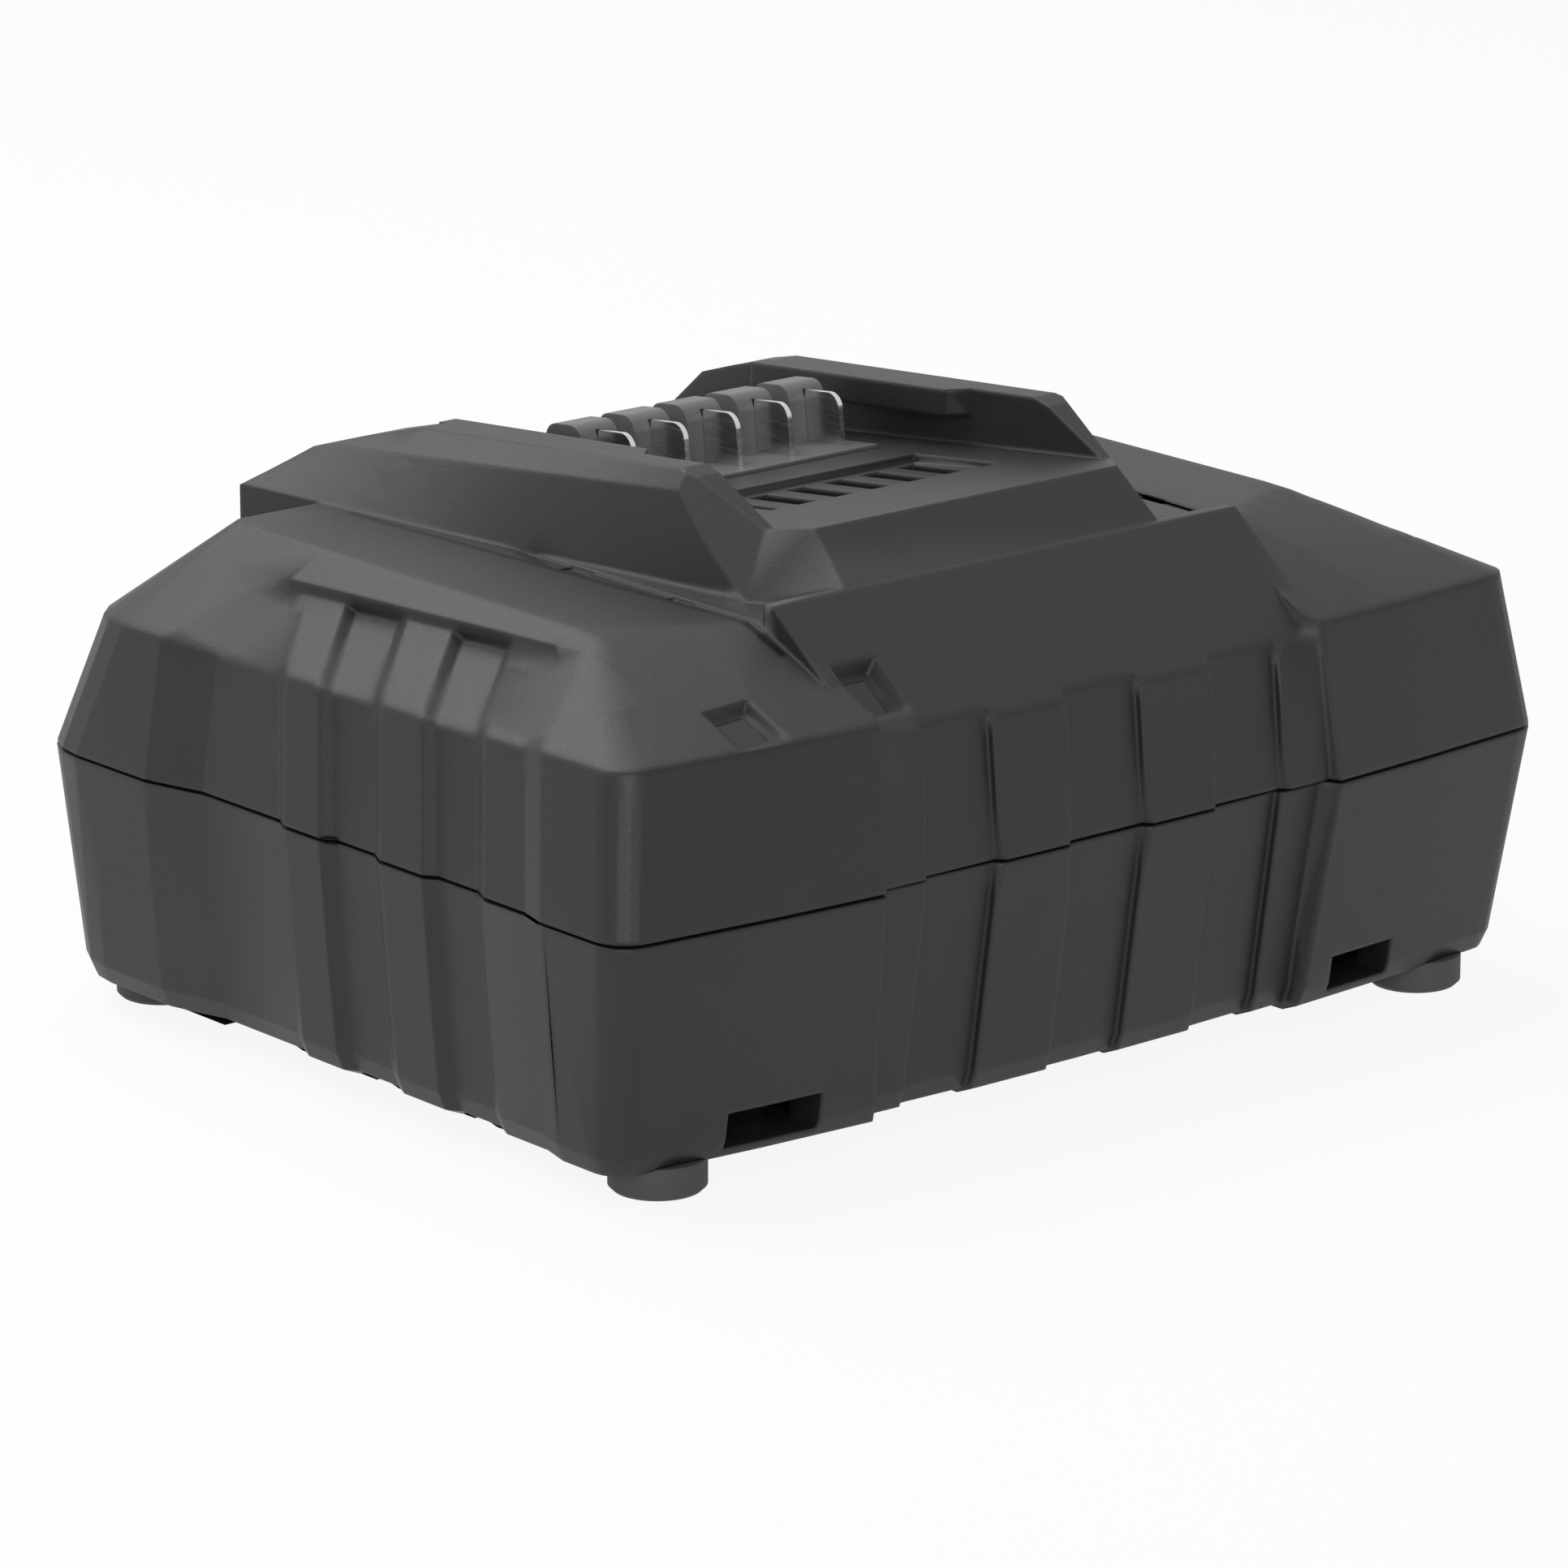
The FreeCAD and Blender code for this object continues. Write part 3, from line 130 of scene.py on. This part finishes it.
def scaled(colour, factor):
    return tuple(min(1.0, c * factor) for c in colour)


def fold_radius(tree, coords, edge, fold):
    """Wider rounding in a band of heights round the shoulder fold."""
    parts = tree.nodes.new("ShaderNodeSeparateXYZ")
    tree.links.new(coords.outputs["Object"], parts.inputs["Vector"])
    away = tree.nodes.new("ShaderNodeMath")
    away.operation = "SUBTRACT"
    away.inputs[1].default_value = FOLD_HEIGHT
    tree.links.new(parts.outputs["Z"], away.inputs[0])
    size = tree.nodes.new("ShaderNodeMath")
    size.operation = "ABSOLUTE"
    tree.links.new(away.outputs["Value"], size.inputs[0])
    band = tree.nodes.new("ShaderNodeMapRange")
    band.inputs["From Min"].default_value = FOLD_BAND[0]
    band.inputs["From Max"].default_value = FOLD_BAND[1]
    band.inputs["To Min"].default_value = fold
    band.inputs["To Max"].default_value = edge
    tree.links.new(size.outputs["Value"], band.inputs["Value"])
    return band.outputs["Result"]


def moulded(name, colour, roughness, grain=3600.0, bump=0.12, depth=0.00006, edge=0.0,
            variation=0.12, specular=0.5, fold=0.0):
    """Moulded plastic: fine spark grain, faint cloudiness and softened edges."""
    material, tree, shader, coords = new_material(name)
    cloud = noise(tree, coords, 55.0, 4.0)
    tint = tinted(tree, cloud, scaled(colour, 1.0 - variation), scaled(colour, 1.0 + variation))
    tree.links.new(tint.outputs["Color"], shader.inputs["Base Color"])
    speckle = noise(tree, coords, grain, 2.0, 0.7)
    rough = spread(tree, speckle, roughness - 0.05, roughness + 0.05)
    tree.links.new(rough.outputs["Result"], shader.inputs["Roughness"])
    shader.inputs["Specular IOR Level"].default_value = specular
    relief = tree.nodes.new("ShaderNodeBump")
    relief.inputs["Strength"].default_value = bump
    relief.inputs["Distance"].default_value = depth
    tree.links.new(speckle.outputs["Fac"], relief.inputs["Height"])
    if edge > 0:
        soft = tree.nodes.new("ShaderNodeBevel")
        soft.samples = 8
        soft.inputs["Radius"].default_value = edge
        if fold > 0:
            tree.links.new(fold_radius(tree, coords, edge, fold), soft.inputs["Radius"])
        tree.links.new(soft.outputs["Normal"], relief.inputs["Normal"])
    tree.links.new(relief.outputs["Normal"], shader.inputs["Normal"])
    return material


def plated(name, colour, roughness):
    """Thin stamped metal with faint rolling lines."""
    material, tree, shader, coords = new_material(name)
    stretch = tree.nodes.new("ShaderNodeMapping")
    stretch.inputs["Scale"].default_value = (1.0, 0.06, 1.0)
    tree.links.new(coords.outputs["Object"], stretch.inputs["Vector"])
    lines = tree.nodes.new("ShaderNodeTexNoise")
    lines.inputs["Scale"].default_value = 2600.0
    lines.inputs["Detail"].default_value = 2.0
    tree.links.new(stretch.outputs["Vector"], lines.inputs["Vector"])
    tint = tinted(tree, lines, scaled(colour, 0.86), colour)
    tree.links.new(tint.outputs["Color"], shader.inputs["Base Color"])
    rough = spread(tree, lines, roughness - 0.06, roughness + 0.08)
    tree.links.new(rough.outputs["Result"], shader.inputs["Roughness"])
    shader.inputs["Metallic"].default_value = 1.0
    relief = tree.nodes.new("ShaderNodeBump")
    relief.inputs["Strength"].default_value = 0.08
    relief.inputs["Distance"].default_value = 0.00002
    tree.links.new(lines.outputs["Fac"], relief.inputs["Height"])
    tree.links.new(relief.outputs["Normal"], shader.inputs["Normal"])
    return material


def clear(name, colour, roughness):
    """Clear plastic or glass with faint surface waviness."""
    material, tree, shader, coords = new_material(name)
    wave = noise(tree, coords, 300.0, 2.0)
    tint = tinted(tree, wave, scaled(colour, 0.95), colour)
    tree.links.new(tint.outputs["Color"], shader.inputs["Base Color"])
    rough = spread(tree, wave, roughness, roughness + 0.04)
    tree.links.new(rough.outputs["Result"], shader.inputs["Roughness"])
    shader.inputs["Transmission Weight"].default_value = 0.9
    shader.inputs["IOR"].default_value = 1.49
    return material


MATERIALS = {
    "housing": moulded("housing_plastic", HOUSING, 0.46, grain=2600.0, bump=0.45, specular=0.42,
                       depth=0.00008, edge=0.0009, fold=0.0022),
    "terminal_plastic": moulded("terminal_plastic", TERMINAL, 0.42, grain=4200.0, bump=0.08,
                                edge=0.0003),
    "contact_metal": plated("contact_metal", METAL, 0.22),
    "lens": moulded("smoked_lens", LENS, 0.16, grain=900.0, bump=0.02, variation=0.05),
    "clear_plastic": clear("light_guide_plastic", CLEAR, 0.08),
    "lamp": moulded("lamp_epoxy", LAMP, 0.25, grain=1500.0, bump=0.03),
    "board": moulded("board_mask", BOARD, 0.35, grain=1800.0, bump=0.05, variation=0.3),
    "ferrite": moulded("ferrite", FERRITE, 0.65, grain=3000.0, bump=0.3),
    "coil_tape": moulded("coil_tape", TAPE, 0.30, grain=700.0, bump=0.06, variation=0.2),
    "capacitor_sleeve": moulded("capacitor_sleeve", SLEEVE, 0.25, grain=800.0, bump=0.03),
    "sink_metal": plated("sink_metal", (0.66, 0.66, 0.67), 0.38),
    "fuse_glass": clear("fuse_glass", CLEAR, 0.03),
    "inner_plastic": moulded("inner_plastic", INNER, 0.45, grain=3600.0, bump=0.10, edge=0.0003),
    "foot_rubber": moulded("foot_rubber", RUBBER, 0.70, grain=2200.0, bump=0.25, edge=0.0004),
    "screw_steel": plated("screw_steel", (0.55, 0.55, 0.54), 0.30),
}

for row in frame["record"]["subparts"]:
    piece = nodes[row["node"]]
    for slot in piece.material_slots:
        slot.material = MATERIALS[row["material_slot"]]


# Housings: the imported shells, with the ribbed side fields drawn in full relief.
# Sizes in millimetres for the left side; the right side is its mirror image.
ZONE_REAR = 38.2
ZONE_FRONT = -48.5
ZONE_INNER = (41.6, 46.2)
ZONE_FLOOR_X = 73.5
FIELD_REAR = 37.5
FIELD_FRONT = -47.9
RECESS = 2.5
RIB_RECESS = 1.2
RIBS = ((7.7, 0.15), (-13.0, -21.9), (-34.8, -43.3))
RIB_REAR_RUN = 2.8
RIB_FRONT_RUN = 1.7
WALL_SWEEP = 3.6
CHAMFER_SWEEP = 10.4
LEDGE = 0.05
CHAMFER_INWARD = Vector((0.52, 0.0, -0.85))
FOLD_ROW_DROP = 0.556
WALL_SHARES = (0.0125, 0.35, 0.7, 0.9, 1.0)
CHAMFER_PARTS = ((0.14, 1.0), (0.3, 1.0), (0.5, 1.0), (0.75, 1.0), (1.0 - LEDGE, 1.0), (1.0, 0.0))
FIELD_TOP = 0.70
FIELD_TOP_TILT = 0.0022
FIELD_TOP_Y = 24.0
ROOF_ROWS = 16
ROOF_START = 60.8
LOWER_PROFILE = ((-73.4, 3.2, 0.0), (-76.2, 3.2, 1.0), (-78.75, 4.254, 1.0),
                 (-79.8, 6.8, 1.0), (-81.0, 20.0, 1.0), (-82.18, 36.45, 1.0))
# Plain shell: half widths and heights at the foot, the parting line, the fold and the roof edge
FOOT_HALF, FOOT_Z = 79.8, 6.8
FOOT_LEAN, FOOT_RISE = 2.4, 29.9
PARTING_HALF, PARTING_Z = 82.2, 36.7
WALL_LEAN, WALL_RISE = 3.2, 20.3
FOLD_HALF, FOLD_Z, FOLD_TILT = 79.0, 57.0, 0.022
ROOF_HALF, ROOF_Z = 61.0, 68.1
RELIEF_LIMIT = 3.1
RAY_TOP = 90.0


def wall_point(y, share):
    """Point on the plain upper wall, from the parting line (0) to the fold (1)."""
    return Vector((-PARTING_HALF + WALL_LEAN * share, y,
                   PARTING_Z + (WALL_RISE - FOLD_TILT * y) * share))


def outline(half, rear, shoulder, centre, rear_radius, front_radius, power, z, tilt=0.0):
    """Outline of the plain shell at one height, the same as in the part's source."""
    points = []
    for cy, radius, start in ((rear - rear_radius, rear_radius, 90.0),
                              (front_radius - shoulder, front_radius, 180.0)):
        for i in range(6):
            angle = math.radians(start + 18.0 * i)
            points.append((radius - half + radius * math.cos(angle),
                           cy + radius * math.sin(angle)))
    for share in (0.75, 0.5, 0.25):
        points.append((-share * (half - front_radius),
                       -centre + (centre - shoulder) * share ** power))
    right = [(-x, y) for x, y in reversed(points)]
    return [Vector((x, y, z - tilt * y)) for x, y in points + [(0.0, -centre)] + right]


def plain_tree():
    """Chamfers and roof of the shell without its reliefs, to find heights on."""
    fold = outline(FOLD_HALF, 59.6, 60.8, 65.0, 13.4, 5.0, 2, FOLD_Z, FOLD_TILT)
    edge = outline(ROOF_HALF, 45.0, 33.5, 45.5, 1.2, 1.2, 3, ROOF_Z)
    steps = 8
    rings = [[low.lerp(high, i / steps) for low, high in zip(fold, edge)] for i in range(steps + 1)]
    count = len(fold)
    verts = [p for ring in rings for p in ring]
    polys = []
    for r in range(steps):
        for c in range(count):
            d = (c + 1) % count
            polys.append((r * count + c, r * count + d, (r + 1) * count + d, (r + 1) * count + c))
    polys.append(tuple(steps * count + c for c in range(count)))
    return BVHTree.FromPolygons(verts, polys)


PLAIN = plain_tree()


def plain_height(x, y):
    hit = PLAIN.ray_cast(Vector((-abs(x), y, RAY_TOP)), Vector((0.0, 0.0, -1.0)))[0]
    return hit.z if hit else None


def chamfer_point(y, share):
    """Point on the plain chamfer, from the fold (0) to the roof edge (1)."""
    x = -FOLD_HALF + (FOLD_HALF - ROOF_HALF) * share
    height = plain_height(x, y)
    return Vector((x, y, FOLD_Z - FOLD_TILT * y if height is None else height))


def inner_x(y):
    """Inner edge of the drawn zone on the roof, beside the rail."""
    share = (y - ZONE_FRONT) / (ZONE_REAR - ZONE_FRONT)
    return ZONE_INNER[0] + (ZONE_INNER[1] - ZONE_INNER[0]) * share


def field_columns(sweep, fade):
    """Places along the charger where the relief turns, with its depth at each."""
    behind = RECESS + (RIB_RECESS - RECESS) * fade
    first_rear = RIBS[0][0]
    columns = [(ZONE_REAR, 0.0), (FIELD_REAR - 10.0 * fade, 0.0),
               (FIELD_REAR - 9.6 - 2.6 * fade, behind),
               (first_rear + RIB_REAR_RUN + sweep, behind)]
    for number, (rear, front) in enumerate(RIBS):
        if number:
            columns.append((rear + RIB_REAR_RUN + sweep, RECESS))
        columns += [(rear + sweep, RIB_RECESS), (front + sweep, RIB_RECESS)]
        if number < len(RIBS) - 1:
            columns.append((front - RIB_FRONT_RUN + sweep, RECESS))
    last = FIELD_FRONT + sweep
    return columns + [(last + (ZONE_FRONT - last) * i / 8.0, 0.0) for i in range(9)]


def field_verts(upper):
    """Rows of points over the field, from low to high."""
    rows = []
    if upper:
        for share in WALL_SHARES:
            inward = Vector((1.0, 0.0, -FOLD_ROW_DROP if share == 1.0 else 0.0))
            rows.append([wall_point(y, share) + inward * depth
                         for y, depth in field_columns(WALL_SWEEP * share, 0.0)])
        for part, lift in CHAMFER_PARTS:
            row = []
            for y, depth in field_columns(WALL_SWEEP + CHAMFER_SWEEP * part, part):
                share = (FIELD_TOP + FIELD_TOP_TILT * (FIELD_TOP_Y - y)) * part
                row.append(chamfer_point(y, share) + CHAMFER_INWARD * (depth * lift))
            rows.append(row)
        ends = [y for y, depth in field_columns(WALL_SWEEP + CHAMFER_SWEEP, 1.0)]
        for x in (-62.0, -61.2):
            rows.append([Vector((x, y, plain_height(x, y))) for y in ends])
        for i in range(ROOF_ROWS + 1):
            row = []
            for y in ends:
                x = -ROOF_START + (ROOF_START - inner_x(y)) * i / ROOF_ROWS
                row.append(Vector((x, y, plain_height(x, y))))
            rows.append(row)
        # This row runs back outward, under the drawn roof: it doesn't close the gap by the rail
        rows.append([p + Vector((-1.2, 0.0, -0.25)) for p in rows[-1]])
    else:
        for x, z, lift in LOWER_PROFILE:
            rows.append([Vector((x + depth * lift, y, z)) for y, depth in field_columns(0.0, 0.0)])
    return rows


def add_field(work, upper, side):
    """Join the relief of one side to a shell's mesh."""
    rows = [[work.verts.new((-side * p.x * MM, p.y * MM, p.z * MM)) for p in row]
            for row in field_verts(upper)]
    for low, high in zip(rows, rows[1:]):
        for i in range(len(low) - 1):
            quad = [low[i], low[i + 1], high[i + 1], high[i]]
            work.faces.new(quad if side < 0 else quad[::-1])


def plain_depth(x, z, y):
    """How far a point lies under the plain surface of a side, in millimetres."""
    if z < FOOT_Z:
        return FOOT_HALF - 0.5 * (FOOT_Z - z) - x
    if z < PARTING_Z:
        return PARTING_HALF - FOOT_LEAN * (PARTING_Z - z) / FOOT_RISE - x
    on_wall = PARTING_HALF - WALL_LEAN * (z - PARTING_Z) / WALL_RISE - x
    height = plain_height(x, y)
    return on_wall if height is None else min(on_wall, height - z)


def open_zone(work, upper):
    """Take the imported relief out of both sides, so that the drawn one can take its place."""
    cuts = [((0, ZONE_REAR, 0), (0, 1, 0)), ((0, ZONE_FRONT, 0), (0, 1, 0))]
    lean = (ZONE_INNER[1] - ZONE_INNER[0]) / (ZONE_REAR - ZONE_FRONT)
    for side in (-1, 1):
        if upper:
            cuts.append(((side * ZONE_INNER[0], ZONE_FRONT, 0), (1, -side * lean, 0)))
        else:
            cuts.append(((side * ZONE_FLOOR_X, 0, 0), (1, 0, 0)))
    for place, normal in cuts:
        parts = list(work.faces) + list(work.edges) + list(work.verts)
        bmesh.ops.bisect_plane(work, geom=parts, dist=1e-7, plane_co=Vector(place) * MM,
                               plane_no=Vector(normal).normalized())
    gone = []
    for f in work.faces:
        c = f.calc_center_median() / MM
        limit = inner_x(c.y) if upper else ZONE_FLOOR_X
        if not (ZONE_FRONT < c.y < ZONE_REAR and abs(c.x) > limit):
            continue
        rim = abs(f.normal.z) > 0.9 and 36.0 < c.z < 37.4
        if not rim and plain_depth(abs(c.x), c.z, c.y) < RELIEF_LIMIT:
            gone.append(f)
    bmesh.ops.delete(work, geom=gone, context="FACES")


def housing(node):
    """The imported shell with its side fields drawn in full."""
    upper = node == "upper_housing"
    work = bmesh.new()
    work.from_mesh(nodes[node].data)
    work.transform(nodes[node].matrix_world)
    bmesh.ops.remove_doubles(work, verts=work.verts, dist=1e-6)
    open_zone(work, upper)
    for face in work.faces:
        face.smooth = True
    packed = len(work.faces)
    for side in (-1, 1):
        add_field(work, upper, side)
    mesh = bpy.data.meshes.new(node + "_shell")
    work.to_mesh(mesh)
    work.free()
    mesh.set_sharp_from_angle(angle=math.radians(12.0))
    for polygon in mesh.polygons[packed:]:
        polygon.use_smooth = False
    mesh.materials.append(MATERIALS["housing"])
    obj = bpy.data.objects.new(node + "_shell", mesh)
    bpy.context.scene.collection.objects.link(obj)
    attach(obj, "charger")
    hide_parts(node)


def camera():
    back = Vector((math.sin(CAMERA_AZIMUTH) * math.cos(CAMERA_ELEVATION),
                   -math.cos(CAMERA_AZIMUTH) * math.cos(CAMERA_ELEVATION),
                   math.sin(CAMERA_ELEVATION)))
    right = Vector((0.0, 0.0, 1.0)).cross(back).normalized()
    up = back.cross(right)
    data = bpy.data.cameras.new("camera")
    data.sensor_width = SENSOR
    data.lens = CAMERA_LENS
    data.clip_end = 20.0
    obj = bpy.data.objects.new("camera", data)
    turn = Matrix((right, up, back)).transposed()
    obj.matrix_world = Matrix.Translation(CAMERA_PLACE) @ turn.to_4x4()
    bpy.context.scene.collection.objects.link(obj)
    bpy.context.scene.camera = obj


def seen_directly(tree, level):
    """Share of the white background in what the camera, gloss and clear pieces show."""
    path = tree.nodes.new("ShaderNodeLightPath")
    gloss = tree.nodes.new("ShaderNodeMath")
    gloss.operation = "ADD"
    tree.links.new(path.outputs["Is Glossy Ray"], gloss.inputs[0])
    tree.links.new(path.outputs["Is Camera Ray"], gloss.inputs[1])
    both = tree.nodes.new("ShaderNodeMath")
    both.operation = "ADD"
    both.use_clamp = True
    tree.links.new(gloss.outputs["Value"], both.inputs[0])
    tree.links.new(path.outputs["Is Transmission Ray"], both.inputs[1])
    share = tree.nodes.new("ShaderNodeMath")
    share.operation = "MULTIPLY"
    share.inputs[1].default_value = level
    tree.links.new(both.outputs["Value"], share.inputs[0])
    return share.outputs["Value"]


def floor():
    mesh = bpy.data.meshes.new("floor")
    h = FLOOR_HALF
    mesh.from_pydata([(-h, -h, 0), (h, -h, 0), (h, h, 0), (-h, h, 0)], [], [(0, 1, 2, 3)])
    obj = bpy.data.objects.new("floor", mesh)
    bpy.context.scene.collection.objects.link(obj)
    material = bpy.data.materials.new("floor_paper")
    material.use_nodes = True
    tree = material.node_tree
    tree.nodes.clear()
    out = tree.nodes.new("ShaderNodeOutputMaterial")
    paper = tree.nodes.new("ShaderNodeBsdfDiffuse")
    paper.inputs["Color"].default_value = FLOOR_COLOUR
    glow = tree.nodes.new("ShaderNodeEmission")
    glow.inputs["Strength"].default_value = 1.0
    mix = tree.nodes.new("ShaderNodeMixShader")
    tree.links.new(seen_directly(tree, FLOOR_GLOW), mix.inputs["Fac"])
    tree.links.new(paper.outputs["BSDF"], mix.inputs[1])
    tree.links.new(glow.outputs["Emission"], mix.inputs[2])
    tree.links.new(mix.outputs["Shader"], out.inputs["Surface"])
    mesh.materials.append(material)


def world():
    scene_world = bpy.data.worlds.new("studio")
    bpy.context.scene.world = scene_world
    scene_world.use_nodes = True
    tree = scene_world.node_tree
    tree.nodes.clear()
    out = tree.nodes.new("ShaderNodeOutputWorld")
    dim = tree.nodes.new("ShaderNodeBackground")
    dim.inputs["Color"].default_value = (1.0, 1.0, 1.0, 1.0)
    dim.inputs["Strength"].default_value = WORLD_LEVEL
    white = tree.nodes.new("ShaderNodeBackground")
    white.inputs["Strength"].default_value = 1.0
    mix = tree.nodes.new("ShaderNodeMixShader")
    tree.links.new(seen_directly(tree, 1.0), mix.inputs["Fac"])
    tree.links.new(dim.outputs["Background"], mix.inputs[1])
    tree.links.new(white.outputs["Background"], mix.inputs[2])
    tree.links.new(mix.outputs["Shader"], out.inputs["Surface"])


def area_light(name, place, target, size_x, size_y, watts):
    data = bpy.data.lights.new(name, "AREA")
    data.shape = "RECTANGLE"
    data.size = size_x
    data.size_y = size_y
    data.energy = watts
    obj = bpy.data.objects.new(name, data)
    obj.location = place
    aim = Vector(target) - Vector(place)
    obj.rotation_euler = aim.to_track_quat("-Z", "Y").to_euler()
    bpy.context.scene.collection.objects.link(obj)


def lights():
    area_light("overhead", (-0.15, 0.42, 0.85), (0.0, 0.0, 0.05), 0.9, 0.9, 7.2)
    area_light("front_fill", (-1.0, -1.25, 0.6), (0.0, 0.0, 0.05), 0.8, 0.8, 10.5)


housing("lower_housing")
housing("upper_housing")
camera()
floor()
world()
lights()

view = bpy.context.scene.view_settings
view.view_transform = "Standard"
